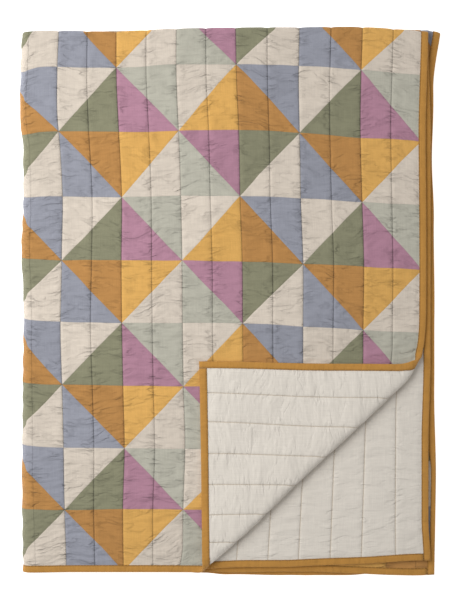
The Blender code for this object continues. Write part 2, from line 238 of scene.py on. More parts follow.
@dataclass(frozen=True)
class Stray:
    """How far the laid layers have slid from their true places, in millimetres across and up.

    Each pair named with rise is the place where a slide starts and the length over which it grows.
    """

    cut: Cut = Cut()
    front_across: Table = (
        (0.0, -2.8, -8.2, -8.7, -12.0, -5.7, -1.2, -0.3),
        (0.0, -4.5, -8.0, -9.0, -9.7, -6.3, -2.7, -1.2),
        (0.0, -1.3, -2.2, -3.2, -3.8, -2.8, -1.8, -1.0),
        (0.0, 3.2, 1.5, -0.7, -2.5, -1.5, 0.7, 0.0),
        (0.0, 1.2, -0.5, 0.3, 0.3, 1.7, 3.3, 0.5),
        (0.0, -4.3, -1.0, -0.2, 0.0, 0.8, 1.7, 0.0),
        (0.0, -2.0, -0.3, 0.2, 0.0, 0.5, 1.0, 0.0),
        (0.0, -0.3, 0.7, 1.7, 1.7, 1.7, 1.7, 0.0),
        (0.0, 0.2, -3.3, -2.7, -2.7, -2.7, -2.7, 0.0),
        (0.0, 1.5, -3.5, -4.5, -4.5, -4.5, -4.5, 0.0),
    )
    front_up: Table = (
        (-3.5, -3.7, -7.3, -6.3, -6.2, -6.7, -1.0, -1.5),
        (-2.0, -0.5, -1.7, 3.7, 3.8, 3.0, -0.2, -0.8),
        (-3.0, -1.0, -1.2, 0.0, 2.2, -1.8, -6.0, -2.8),
        (-2.7, -2.5, -4.0, -1.7, -2.2, -4.3, -6.8, -3.5),
        (-2.8, -3.3, -2.8, -3.7, -5.0, -8.0, -7.7, -5.2),
        (1.5, -0.5, -2.3, -2.2, -2.8, -7.3, -8.3, -5.5),
        (1.2, 0.2, -2.7, -3.7, -4.0, -6.8, -7.0, -5.0),
        (2.2, -1.3, -2.7, -3.7, -3.7, -3.7, -3.7, -3.7),
        (0.8, -1.7, 0.2, -1.3, -1.3, -1.3, -1.3, -1.3),
        (0.0, 0.0, 0.0, 0.0, 0.0, 0.0, 0.0, 0.0),
    )
    edge_up: Table = (
        (-0.85, 0.0), (-0.70, 1.5), (-0.60, 1.5), (-0.48, 2.6), (-0.38, 2.6),
        (-0.27, -2.0), (-0.17, -5.0), (-0.06, -8.0), (-0.005, -1.0),
    )
    edge_fade: float = 0.042
    flap_across: Table = (
        (-1.3, 0.0, -3.0),
        (-4.0, -4.0, -6.0),
        (-7.0, -11.5, -11.0),
        (-10.5, -13.0, -13.0),
        (-14.0, -15.0, -15.0),
    )
    flap_up: Table = (
        (1.1, -8.2, -5.0),
        (5.0, -9.0, -6.0),
        (-3.5, -11.5, -10.0),
        (-8.0, -10.0, -10.0),
        (0.0, -6.0, -8.0),
    )
    flap_end: tuple[float, float] = (-5.0, 12.5)
    flap_end_reach: float = 0.025
    top_fade: float = 0.12
    fade_past_side: float = 0.03
    fade_past_top: float = 0.04
    second_across: Table = ((0.30, 0.0), (0.34, -21.0), (0.47, -16.0), (0.57, -9.5), (0.645, 0.0), (0.70, 0.0))
    second_rise: tuple[float, float] = (0.35, 0.2)
    second_fade: float = 1.1
    second_fade_length: float = 0.3
    second_end: float = 0.863
    second_edge: Table = ((0.56, 0.0), (0.70, -3.5), (0.83, -3.5), (0.90, 0.0))
    second_edge_rise: tuple[float, float] = (0.6, 0.07)
    second_up: Table = ((0.36, 0.0), (0.47, -4.5), (0.57, -4.7), (0.66, 0.0))
    second_up_rise: tuple[float, float] = (0.7, 0.15)
    lowest_rise: tuple[float, float] = (0.6, 0.28)
    lowest_up: Table = (
        (0.28, 0.0), (0.32, -11.5), (0.36, -15.5), (0.46, -19.0), (0.50, -20.0),
        (0.56, -21.0), (0.62, -17.0), (0.69, -5.0),
    )
    third_up: Table = (
        (0.28, 0.0), (0.32, 6.5), (0.36, 9.0), (0.46, 15.5), (0.50, 17.0),
        (0.56, 16.5), (0.62, 11.0), (0.68, 1.3),
    )

    def front(self, u: Array, v: Array) -> Array:
        """The slide of the top layer, which its two folds share.

        Args:
            u: Places across the flat cloth.
            v: Places along it.

        Returns:
            How far each place slides across and up.
        """
        column = (u - self.cut.first_seam) / (2 * self.cut.pitch_right) + 1
        slide = both(self.front_across, self.front_up, self.cut.row(v), column)
        slide[..., 1] += smooth_table(self.edge_up, v) * ramp(1 - u / self.edge_fade)
        return slide

    def flap(self, u: Array, v: Array) -> Array:
        """The slide of the turned corner."""
        row, column = 4 * (self.cut.right - u) / self.cut.corner_side, 2 * (v + self.cut.near) / self.cut.corner_side
        return both(self.flap_across, self.flap_up, row, column)

    def second(self, u: Array, v: Array) -> Array:
        """The slide of the layer under the top one, on its near half.

        Args:
            u: Places across the flat cloth.
            v: Places along it.

        Returns:
            How far each place slides across and up.
        """
        fade = 1 - self.second_fade * (self.second_end - v) / self.second_fade_length
        across = smooth_table(self.second_across, u) * fade * rise(v, self.second_rise)
        across = across + smooth_table(self.second_edge, v) * rise(u, self.second_edge_rise)
        return np.stack([across, smooth_table(self.second_up, u) * rise(v, self.second_up_rise)], -1)

    def lowest(self, u: Array, v: Array) -> Array:
        """The slide of the two lowest layers, at their bound ends."""
        up = smooth_table(self.lowest_up, -u) + smooth_table(self.third_up, -u) * (v > 0)
        return np.stack([np.zeros_like(u), up * rise(np.abs(v), self.lowest_rise)], -1)

    def slide(self, u: Array, v: Array, turned: Array) -> Array:
        """The slide of points of the flat cloth.

        Args:
            u: Places across the flat cloth.
            v: Places along it.
            turned: 1 on the turned corner, 0 elsewhere.

        Returns:
            How far each point slides across and up, in metres.
        """
        share = turned[..., None]
        top = self.front(u, v) * (1 - share) + self.flap(u, v) * share
        end = np.hypot(u - self.cut.right, v + self.cut.near - self.cut.corner_side) / self.flap_end_reach
        top = top + np.exp(-(end**2))[..., None] * np.array(self.flap_end)
        past_side = ramp(1 + (u + self.fade_past_side) / self.top_fade)
        past_top = ramp(1 - (v - self.fade_past_top) / self.top_fade)
        top = top * (past_side * past_top)[..., None]
        return (top + self.second(u, v) + self.lowest(u, v)) / 1000


def glide(run: Array, drop: Array | float, reach: float) -> tuple[Array, Array, Array]:
    """The soft way down of a layer past a fold.

    Args:
        run: Distances past the fold.
        drop: How far it comes down.
        reach: The distance over which it does.

    Returns:
        The height that is left, the slope, and the length along the slope for each metre across.
    """
    share = np.minimum(1.0, run / reach)
    slope = -drop * math.pi / (2 * reach) * np.sin(math.pi * share)
    return drop * (1 + np.cos(math.pi * share)) / 2, slope, np.hypot(1, slope)


@dataclass(frozen=True)
class Folding:
    """How the flat cloth is folded: the turned corner, the top fold, the side fold, and how it settles."""

    cut: Cut = Cut()
    stray: Stray = Stray()
    layer_pitch: float = 0.0052
    side_radius: float = 0.008
    side_settle: float = 0.075
    side_gather: float = 0.008
    gather_reach: float = 0.016
    gather_fade: float = 0.06
    lip_skew: float = 0.0195
    side_skew: float = 0.0133
    slip_length: float = 0.18
    turn_low: float = 0.0055
    turn_high: float = 0.0060
    turn_least: float = 0.001
    turn_flatness: float = 1.9
    turn_ease: float = 0.05
    turn_settle: float = 0.10
    turn_shear: float = 0.08
    top_turn: float = 0.0195
    top_sag: float = 0.015
    top_sag_start: float = 0.40
    far_bow: float = 0.016
    row_bow: float = 0.0053
    lump_height: float = 0.0009
    lump_across: float = 0.31
    lump_along: float = 0.62
    lump_phase: float = 1.0
    lip_offset: float = 0.0025
    lip_droop: float = 0.010
    droop_start: float = 0.655
    droop_width: float = 0.045
    droop_length: float = 0.08
    under_start: float = 0.45
    side_fold_x: float = -0.34917
    top_fold_y: float = 0.45046
    under_edge: Table = (
        (-0.03, 0.0170), (0.10, 0.0022), (0.21, -0.0004), (0.32, 0.0044),
        (0.48, 0.0075), (0.60, 0.0088), (0.76, 0.0136), (0.95, 0.0130),
    )
    side_stray: Table = (
        (0.00, 0.000), (0.07, -0.0020), (0.13, -0.0038), (0.20, 0.0012), (0.28, 0.0008),
        (0.36, -0.0022), (0.47, 0.0030), (0.60, 0.0008), (0.75, -0.0008), (0.90, 0.0004),
    )
    stray_fade: float = 0.12
    bump_height: float = 0.0006
    bump_rate: float = 150.0
    bump_drift: float = 3.0
    bump_drift_rate: float = 21.0
    bump_fade: float = 0.03

    @property
    def lip(self) -> float:
        """The radius of the top fold at the cloth's middle surface."""
        return self.layer_pitch / 2

    @property
    def under_height(self) -> float:
        """The height of the middle of the lower pair of layers."""
        return self.lip + self.cut.puff_half

    @property
    def side_centre(self) -> float:
        """The distance from the outermost line of the side fold to its centre."""
        return self.side_radius + self.under_height

    def towards_corner(self, u: Array, v: Array) -> tuple[Array, Array]:
        """Places measured towards the near right corner, and along the fold that turns it back."""
        across, along = u - self.cut.right, v + self.cut.near
        return (across - along) / math.sqrt(2), (across + along) / math.sqrt(2)

    def turn_edge(self, along: Array) -> tuple[Array, Array, Array]:
        """The flattened roll over which the corner is turned back.

        Args:
            along: Places along the fold.

        Returns:
            Half the roll's height, the cloth's length round it, and the place where it starts.
        """
        half_fold = self.cut.corner_side / math.sqrt(2)
        share = (along + half_fold) / (2 * half_fold)
        radius = np.maximum(self.turn_low + (self.turn_high - self.turn_low) * share, self.turn_least)
        length = math.pi * radius * math.sqrt((1 + self.turn_flatness**2) / 2)
        return radius, length, -half_fold - length / 2

    def turn_corner(self, u: Array, v: Array, s: Array) -> tuple[Array, Array, Array]:
        """Turns the corner of the near right layer back.

        Args:
            u: Places across the flat cloth.
            v: Places along it.
            s: Heights above its middle surface.

        Returns:
            The same three after the turn.
        """
        towards, along = self.towards_corner(u, v)
        radius, round_length, start = self.turn_edge(along)
        angle = np.clip((towards - start) / round_length, 0, 1) * math.pi
        lean_x, lean_z = np.sin(angle) / self.turn_flatness, -np.cos(angle)
        lean = np.hypot(lean_x, lean_z)
        past = np.maximum(0.0, towards - start - round_length)
        left, slope, length = glide(past, 2 * radius - self.layer_pitch, self.turn_settle)
        flying = self.layer_pitch + left
        on_arc = past == 0
        reach = self.turn_flatness * radius * np.sin(angle) - s * lean_x / lean
        place = start + np.where(on_arc, reach, -past - s * slope / length)
        height = np.where(on_arc, radius * (1 - np.cos(angle)) - s * lean_z / lean, flying - s / length)
        turned = towards > start
        moved = along - self.turn_shear * np.maximum(0.0, start - place)
        return (
            np.where(turned, self.cut.right + (place + moved) / math.sqrt(2), u),
            np.where(turned, -self.cut.near + (moved - place) / math.sqrt(2), v),
            np.where(turned, height, s),
        )

    def fold_top(self, m: Array, s: Array | float) -> tuple[Array, Array]:
        """Folds the cloth over its top line.

        Args:
            m: Places along the cloth from that line.
            s: Heights above its middle surface.

        Returns:
            The places after the fold, and their heights off the middle of the pair of layers.
        """
        quarter = math.pi / 2 * self.lip
        angle = np.clip(m / self.lip, -math.pi / 2, math.pi / 2)
        reach = self.lip + s
        return reach * np.cos(angle) - self.lip - np.maximum(0.0, np.abs(m) - quarter), reach * np.sin(angle)

    def fold_side(self, q: Array, m: Array, n: Array) -> tuple[Array, Array, Array]:
        """Folds the pair of layers over its side line.

        Args:
            q: Places across the pair from that line.
            m: Places along the cloth from the top line.
            n: Heights off the middle of the pair.

        Returns:
            The places across and the heights after the fold, and the share of the upper pair.
        """
        middle = self.fold_top(m, 0.0)[1]
        radius = self.side_radius + middle * ramp(np.abs(m) / self.slip_length)
        angle = np.clip(q / radius, -math.pi / 2, math.pi / 2)
        reach = self.side_radius + n
        run = np.maximum(0.0, np.abs(q) - math.pi / 2 * radius)
        x = self.side_centre + run - reach * np.cos(angle)
        z = self.under_height + self.side_radius + reach * np.sin(angle)
        left, slope, length = glide(run, 2 * self.side_radius - 2 * self.layer_pitch, self.side_settle)
        height = self.under_height + 2 * self.layer_pitch + left
        settled = (q > 0) & (run > 0)
        x = np.where(settled, self.side_centre + run - n * slope / length, x)
        z = np.where(settled, height + n / length, z)
        return x, z, (1 + np.sin(angle)) / 2

    def settle(self, x: Array, y: Array, z: Array, top: Array) -> Array:
        """Lets the folded layers stray a little to where they lie at last.

        Args:
            x: Places across from the side fold.
            y: Places up from the top fold.
            z: Heights.
            top: 1 on the upper pair of layers, 0 on the lower pair.

        Returns:
            The points, with a last axis of three.
        """
        down, width = -y, self.cut.right
        far = x / width
        sag = np.maximum(0.0, x - self.top_sag_start) / (width - self.top_sag_start)
        top_x = -self.side_skew * down * far * far
        top_y = self.top_turn * x - self.top_sag * sag * sag - self.row_bow * np.sin(math.pi * down / self.cut.near)
        under_x = smooth_table(self.under_edge, down) * ramp((x - self.under_start) / (width - self.under_start))
        droop = np.maximum(0.0, x - self.droop_start) / self.droop_width
        fading = np.exp(-np.maximum(0.0, down) / self.droop_length)
        under_y = self.lip_offset * ramp(x / self.under_start) - self.lip_droop * droop**2 * fading
        wave = np.sin(2 * math.pi * x / self.lump_across + self.lump_phase)
        wave = wave * np.sin(2 * math.pi * down / self.lump_along)
        bumps = np.sin(down * self.bump_rate + self.bump_drift * np.sin(down * self.bump_drift_rate))
        stray = smooth_table(self.side_stray, down) * (1 - ramp(x / self.stray_fade))
        stray += self.bump_height * bumps * (1 - ramp(x / self.bump_fade))
        across = self.side_fold_x + x + stray + under_x + (top_x - under_x) * top
        up = self.top_fold_y + y + under_y + (top_y - under_y) * top
        return np.stack([across, up, z + top * self.lump_height * (1 + wave)], axis=-1)

    def place(self, u: Array, v: Array, s: Array) -> Array:
        """Folds points of the flat cloth.

        Args:
            u: Places across the flat cloth.
            v: Places along it.
            s: Heights above its middle surface.

        Returns:
            The folded points, with a last axis of three.
        """
        towards, along = self.towards_corner(u, v)
        turned = ramp((towards - self.turn_edge(along)[2]) / self.turn_ease + 1)
        slide = self.stray.slide(u, v, turned)
        u, v, s = self.turn_corner(u, v, s)
        stretch = self.far_bow * np.sin(math.pi * np.clip(u, 0, self.cut.right) / self.cut.right)
        v = np.where(v > 0, v + stretch * v / self.cut.far, v)
        m = self.lip_skew * u - v
        y, n = self.fold_top(m, s)
        q = u + self.side_skew * np.abs(m)
        q = q + self.side_gather * ramp(1 - q / self.gather_reach) * ramp(1 + q / self.gather_fade)
        x, z, top = self.fold_side(q, m, n)
        return self.settle(x + slide[..., 0], y + slide[..., 1], z, top)


@dataclass(frozen=True)
class Creases:
    """Short puckers of washed cotton, each a soft trough with a ridge beside it."""

    count: int
    seed: int
    across: tuple[float, float]
    along: tuple[float, float]
    length: tuple[float, float] = (0.012, 0.036)
    width: tuple[float, float] = (0.0020, 0.0034)
    depth: tuple[float, float] = (0.0004, 0.0013)
    tilt: float = 0.20625
    share_at_seam: float = 0.8
    margin: float = 0.02
    bend: float = 0.06
    bend_rate: float = 5.0
    ridge_height: float = 0.55
    ridge_place: float = 2.1
    ridge_width: float = 1.5

    def rows(self, cut: Cut) -> list[tuple[float, ...]]:
        """Draws the puckers, most of which begin at a quilting seam.

        Args:
            cut: The flat cloth.

        Returns:
            (u, v, length, tilt, width, depth) of each.
        """
        rng = np.random.default_rng(self.seed)
        made = []
        for _ in range(self.count):
            length = rng.uniform(*self.length)
            u, v = rng.uniform(*self.across), rng.uniform(*self.along)
            if rng.random() < self.share_at_seam:
                seam = cut.nose_seam + round((u - cut.nose_seam) / cut.pitch_right) * cut.pitch_right
                u = seam + rng.choice([-1, 1]) * length / 2
            tilt = rng.normal(0, self.tilt)
            depth = rng.uniform(*self.depth) * rng.choice([1, 1, -1])
            made.append((u, v, length, tilt, rng.uniform(*self.width), depth))
        return made

    def press(self, height: Array, u: Array, v: Array, cut: Cut) -> None:
        """Adds the puckers to a grid of heights, in place.

        Args:
            height: The heights, one for each grid point.
            u: Places across of the grid points.
            v: Places along of the grid points.
            cut: The flat cloth.
        """
        for centre_u, centre_v, length, tilt, width, depth in self.rows(cut):
            reach = length / 2 + 3 * width
            low_i, high_i = np.searchsorted(u[0], [centre_u - reach, centre_u + reach])
            low_j, high_j = np.searchsorted(v[:, 0], [centre_v - reach - self.margin, centre_v + reach + self.margin])
            if low_i == high_i or low_j == high_j:
                continue
            part = (slice(low_j, high_j), slice(low_i, high_i))
            du, dv = u[part] - centre_u, v[part] - centre_v
            along = du * math.cos(tilt) + dv * math.sin(tilt)
            across = dv * math.cos(tilt) - du * math.sin(tilt)
            across = across + self.bend * along * np.sin(along / length * self.bend_rate)
            fade = np.clip(1 - (2 * along / length) ** 2, 0, 1)
            beside = (across - self.ridge_place * width) / (self.ridge_width * width)
            trough = np.exp(-((across / width) ** 2)) - self.ridge_height * np.exp(-(beside**2))
            height[part] -= depth * fade * trough


@dataclass
class ClothSheet:
    """One face of the quilt, folded with it: the pieced front or the plain back.

    Each pair named with rise is the place where something starts and the length over which it grows.
    """

    name: str
    side: Side
    folding: Folding
    columns: list[float]
    rows: list[float]
    creases: Sequence[Creases]
    hidden_share: float = 0.2
    below_share: float = 0.8
    side_rise: tuple[float, float] = (-0.02, 0.03)
    top_rise: tuple[float, float] = (-0.002, 0.01)
    under_rise: tuple[float, float] = (0.2, 0.05)
    far_rise: tuple[float, float] = (0.3, 0.05)
    flap_margin: float = 0.004
    flap_ease: float = 0.006
    held_reach: float = 0.004
    held_share: float = 0.45
    edge_ease: float = 0.01
    groove_depth: float = 0.0004
    groove_reach: float = 0.0011

    def flat_points(self) -> tuple[Array, Array]:
        """The u and v of the grid, whose rows follow the skewed top fold where they are near it."""
        u, row = np.meshgrid(self.columns, self.rows)
        return u, self.folding.cut.skewed(u, row, self.folding.lip_skew)

    def seen(self, u: Array, v: Array) -> Array:
        """How much of this face is seen.

        Args:
            u: Places across the flat cloth.
            v: Places along it.

        Returns:
            1 where it is seen, and less where it lies against another layer.
        """
        folding, cut = self.folding, self.folding.cut
        towards, along = folding.towards_corner(u, v)
        _, round_length, start = folding.turn_edge(along)
        turned = ramp((towards - start) / round_length)
        near_right = rise(u, self.side_rise) * rise(-v, self.top_rise)
        if self.side is Side.BACK:
            return np.maximum(near_right * turned, rise(u, self.under_rise) * rise(v, self.far_rise))
        flap = cut.corner_side + self.flap_margin
        below = ramp((u - cut.right + flap) / self.flap_ease) * ramp((flap - v - cut.near) / self.flap_ease)
        return near_right * (1 - turned) * (1 - self.below_share * below)

    def heights(self, u: Array, v: Array) -> Array:
        """The heights of the grid points: half the thickness, with the puckers where they are seen.

        Args:
            u: Places across the flat cloth.
            v: Places along it.

        Returns:
            The s of each.
        """
        cut = self.folding.cut
        relief = np.zeros_like(u)
        for creases in self.creases:
            creases.press(relief, u, v, cut)
        relief *= 1 - self.held_share * np.exp(-((cut.seam_distance(u) / self.held_reach) ** 2))
        relief *= ramp((cut.inside(u, v) - cut.binding) / self.edge_ease)
        seen = self.seen(u, v)
        share = self.hidden_share + (1 - self.hidden_share) * seen
        groove = self.groove_depth * np.exp(-((cut.seam_distance(u) / self.groove_reach) ** 2))
        groove = groove * seen * (1 - cut.stretched(u))
        return self.side.value * (cut.half_thickness(u, v) + relief * share - groove)

    def build(self) -> bpy.types.Object:
        """Lays the grid flat, gives it its relief and folds it.

        Returns:
            The face.
        """
        sheet, index = new_grid(self.name, len(self.columns), len(self.rows))
        if self.side is Side.BACK:
            sheet.data.flip_normals()
        u, v = self.flat_points()
        move_points(sheet.data, self.folding.place(u, v, self.heights(u, v)), index)
        cut = self.folding.cut
        paint_uv(sheet.data, (cut.column(u) + FIRST_COLUMN).ravel()[index], (cut.row(v) + FIRST_ROW).ravel()[index])
        finish_mesh(sheet)
        return sheet


def new_grid(name: str, across: int, along: int) -> tuple[bpy.types.Object, Array]:
    """Adds a flat grid of points.

    Args:
        name: The object's name.
        across: How many points it has across.
        along: How many points it has along.

    Returns:
        The object, and the place of each of its vertices in a row by row list of the points.
    """
    bpy.ops.object.select_all(action="DESELECT")
    bpy.ops.mesh.primitive_grid_add(x_subdivisions=across - 1, y_subdivisions=along - 1, size=1)
    grid = bpy.context.active_object
    grid.name = name
    flat = np.empty(len(grid.data.vertices) * 3)
    grid.data.vertices.foreach_get("co", flat)
    flat = flat.reshape(-1, 3)
    i = np.rint((flat[:, 0] + 0.5) * (across - 1)).astype(int)
    j = np.rint((flat[:, 1] + 0.5) * (along - 1)).astype(int)
    return grid, j * across + i


def move_points(mesh: bpy.types.Mesh, points: Array, index: Array) -> None:
    """Moves each vertex to its own point of a row by row grid."""
    mesh.vertices.foreach_set("co", points.reshape(-1, 3)[index].ravel())


def paint_uv(mesh: bpy.types.Mesh, x: Array, y: Array) -> None:
    """Writes the cloth's own coordinates as a mesh's UV map.

    Args:
        mesh: The mesh.
        x: The first coordinate of each vertex.
        y: The second.
    """
    layer = mesh.uv_layers[0] if mesh.uv_layers else mesh.uv_layers.new(name=UV_NAME)
    layer.name = UV_NAME
    corner = np.empty(len(mesh.loops), dtype=int)
    mesh.loops.foreach_get("vertex_index", corner)
    layer.data.foreach_set("uv", np.stack([x[corner], y[corner]], axis=-1).ravel())


def finish_mesh(piece: bpy.types.Object) -> None:
    """Updates a moved mesh and shades it smooth.

    Args:
        piece: The object of the mesh.
    """
    piece.data.update()
    bpy.ops.object.select_all(action="DESELECT")
    piece.select_set(True)
    bpy.context.view_layer.objects.active = piece
    bpy.ops.object.shade_smooth()


def steps(low: float, high: float, spacing: float) -> list[float]:
    """Evenly spaced places from low up to, and without, high."""
    count = max(1, round((high - low) / spacing))
    return [low + (high - low) * step / count for step in range(count)]


@dataclass(frozen=True)
class GridLines:
    """Where the grid of a face has its lines, closest round the seams and the folds."""

    cut: Cut
    folding: Folding
    first: float = 0.0013
    under_binding: float = 0.004
    beside_binding: float = 0.003
    nose_spacing: float = 0.0018
    least: float = 0.0005
    lip_steps: int = 6

    def columns(self, offsets: Sequence[float], coarse: Sequence[float], fine_from: float) -> list[float]:
        """The u of each column.

        Args:
            offsets: Distances from a seam to its lines, up to half a channel, where the cloth is seen.
            coarse: Shares of a channel where its lines lie elsewhere.
            fine_from: The u from which the cloth is seen.

        Returns:
            The lines, in order.
        """
        cut = self.cut
        left, right = -cut.left + cut.binding, cut.right - cut.binding
        ends = [left, *cut.seams(), right]
        lines = [-cut.left + self.first, left - self.under_binding]
        lines += [right + self.under_binding, cut.right - self.first, right - self.beside_binding]
        lines += steps(cut.nose_seam, cut.nose_seam + cut.pitch_right, self.nose_spacing)
        for low, high in zip(ends, ends[1:]):
            if high < fine_from:
                lines += [low + (high - low) * share for share in coarse]
                continue
            lines += [low + offset for offset in offsets if low + offset < high]
            lines += [high - offset for offset in offsets if high - offset > low]
        lines.sort()
        kept = lines[:1]
        for line in lines:
            if line - kept[-1] > self.least:
                kept.append(line)
        return kept

    def rows(self, bands: Sequence[tuple[float, float, float]]) -> list[float]:
        """The v of each row, close at the top fold and spaced by bands elsewhere.

        Args:
            bands: (from, to, spacing) of each stretch, from the near edge to the far edge.

        Returns:
            The rows, in order.
        """
        lip = math.pi / 2 * self.folding.lip + self.least
        lines = [-self.cut.near + self.first, self.cut.far - self.first]
        for low, high, spacing in bands:
            lines += steps(low, high, spacing)
        lines = [line for line in lines if abs(line) > lip + self.least]
        lines += [lip * step / self.lip_steps for step in range(-self.lip_steps, self.lip_steps + 1)]
        lines.sort()
        return lines


class Graph:
    """A node tree with short names for the nodes that the finishes use."""

    def __init__(self, tree: bpy.types.NodeTree) -> None:
        """Keeps the tree to add nodes to."""
        self.tree = tree

    def fill(self, node: bpy.types.Node, values: Mapping[int | str, Value]) -> bpy.types.Node:
        """Sets a node's inputs.

        Args:
            node: The node.
            values: A number, a colour or another node's output for each input, by its number or name.

        Returns:
            The node.
        """
        for index, value in values.items():
            if isinstance(value, bpy.types.NodeSocket):
                self.tree.links.new(value, node.inputs[index])
            else:
                node.inputs[index].default_value = value
        return node

    def add(self, kind: str, values: Mapping[int | str, Value]) -> bpy.types.Node:
        """Adds a node of a kind, with its inputs' values."""
        return self.fill(self.tree.nodes.new(kind), values)

    def group(self, tree: bpy.types.NodeTree, values: Mapping[str, Value]) -> Mapping[str, Socket]:
        """Places a node group.

        Args:
            tree: The group.
            values: Its inputs' values, by their names.

        Returns:
            Its outputs, by their names.
        """
        node = self.tree.nodes.new("ShaderNodeGroup")
        node.node_tree = tree
        return self.fill(node, values).outputs

    def math(self, operation: str, *values: Value) -> Socket:
        """Works out a value.

        Args:
            operation: The name of the operation.
            values: What goes into it.

        Returns:
            The result.
        """
        node = self.add("ShaderNodeMath", dict(enumerate(values)))
        node.operation = operation
        return node.outputs[0]

    def times(self, first: Value, second: Value) -> Socket:
        """Two values multiplied."""
        return self.math("MULTIPLY", first, second)

    def plus(self, first: Value, second: Value) -> Socket:
        """Two values added."""
        return self.math("ADD", first, second)

    def minus(self, first: Value, second: Value) -> Socket:
        """The second value taken from the first."""
        return self.math("SUBTRACT", first, second)

    def apart(self, first: Value, second: Value) -> Socket:
        """How far two values are apart."""
        return self.math("ABSOLUTE", self.minus(first, second))

    def from_whole(self, value: Value) -> Socket:
        """The distance from a value to the nearest whole number."""
        return self.apart(self.math("FRACT", self.plus(value, 0.5)), 0.5)

    def combine(self, x: Value, y: Value, z: Value = 0.0) -> Socket:
        """A vector of three values."""
        return self.add("ShaderNodeCombineXYZ", {0: x, 1: y, 2: z}).outputs[0]

    def separate(self, vector: Socket) -> tuple[Socket, Socket]:
        """The first two values of a vector."""
        outputs = self.add("ShaderNodeSeparateXYZ", {0: vector}).outputs
        return outputs[0], outputs[1]

    def scaled(self, x: Socket, y: Socket, scale_x: float, scale_y: float, z: float = 0.0) -> Socket:
        """A place whose coordinates are each stretched by their own scale."""
        return self.combine(self.times(x, scale_x), self.times(y, scale_y), z)

    def noise(self, vector: Socket, scale: float, detail: float = 2.0, rough: float = 0.5) -> Socket:
        """A noise value from 0 to 1."""
        values = {"Vector": vector, "Scale": scale, "Detail": detail, "Roughness": rough}
        return self.add("ShaderNodeTexNoise", values).outputs["Fac"]

    def span(self, value: Socket, low: float, high: float, start: float = 0.0, end: float = 1.0) -> Socket:
        """Maps a value smoothly from one range to another.

        Args:
            value: The value.
            low: Where the first range starts.
            high: Where it ends.
            start: The result at its start and before.
            end: The result at its end and past it.

        Returns:
            The result.
        """
        node = self.add("ShaderNodeMapRange", {0: value, 1: low, 2: high, 3: start, 4: end})
        node.interpolation_type = "SMOOTHSTEP"
        return node.outputs[0]

    def mix(self, share: Value, first: Value, second: Value, blend: str = "MIX") -> Socket:
        """Mixes two colours.

        Args:
            share: The share of the second colour.
            first: The first colour.
            second: The second colour.
            blend: The name of the way they mix.

        Returns:
            The mixed colour.
        """
        node = self.tree.nodes.new("ShaderNodeMix")
        node.data_type = "RGBA"
        node.blend_type = blend
        return self.fill(node, {0: share, 6: first, 7: second}).outputs[2]

    def shaded(self, colour: Value, shade: Socket) -> Socket:
        """A colour made darker or lighter by a value."""
        grey = self.add("ShaderNodeCombineColor", {0: shade, 1: shade, 2: shade})
        return self.mix(1.0, colour, grey.outputs[0], "MULTIPLY")

    def brightness(self, colour: Socket) -> Socket:
        """How bright a colour is."""
        return self.add("ShaderNodeRGBToBW", {0: colour}).outputs[0]

    def relief(self, shader: bpy.types.Node, layers: Sequence[tuple[Socket, float]]) -> None:
        """Bends a shader's normal by one height after another.

        Args:
            shader: The shader.
            layers: Each height, and the distance in metres that it is a share of.
        """
        below: dict[str, Value] = {}
        for height, distance in layers:
            bump = self.add("ShaderNodeBump", {"Strength": 1.0, "Distance": distance, "Height": height, **below})
            below = {"Normal": bump.outputs[0]}
        self.fill(shader, below)


def new_group(
    name: str, inputs: Sequence[str], outputs: Sequence[str]
) -> tuple[Graph, Mapping[str, Socket], bpy.types.Node]:
    """Starts a node group.

    Args:
        name: The group's name.
        inputs: The names of its inputs, of which Cloth is a vector and the others are values.
        outputs: The names of its outputs, all values.

    Returns:
        Its graph, what it is given, and its output node.
    """
    tree = bpy.data.node_groups.new(name, "ShaderNodeTree")
    for label in inputs:
        kind = "NodeSocketVector" if label == "Cloth" else "NodeSocketFloat"
        tree.interface.new_socket(name=label, in_out="INPUT", socket_type=kind)
    for label in outputs:
        tree.interface.new_socket(name=label, in_out="OUTPUT", socket_type="NodeSocketFloat")
    return Graph(tree), tree.nodes.new("NodeGroupInput").outputs, tree.nodes.new("NodeGroupOutput")


def weave_group() -> bpy.types.NodeTree:
    """A plain weave with uneven, slubby threads. Cloth is its place in metres.

    Returns:
        The group.
    """
    graph, given, result = new_group("plain_weave", ["Cloth", "Threads", "Slub"], ["Height", "Tone"])
    x, y = graph.separate(given["Cloth"])
    waves = []
    for this, other in ((x, y), (y, x)):
        wobble = graph.noise(graph.scaled(this, other, 900.0, 40.0), 1.0)
        phase = graph.plus(graph.times(this, given["Threads"]), graph.times(wobble, 1.2))
        waves.append(graph.math("SINE", graph.times(phase, 2 * math.pi)))
    checks = graph.times(*waves)
    slubs = [
        graph.minus(graph.noise(graph.scaled(x, y, *scales), 1.0, 3.0, 0.6), 0.5)
        for scales in ((1100.0, 28.0), (28.0, 1100.0))
    ]
    slub = graph.times(graph.plus(*slubs), given["Slub"])
    height = graph.plus(graph.times(checks, 0.22), graph.times(slub, 1.4))
    tone = graph.plus(slub, graph.times(checks, 0.03))
    graph.fill(result, {"Height": graph.plus(height, 0.5), "Tone": tone})
    return graph.tree


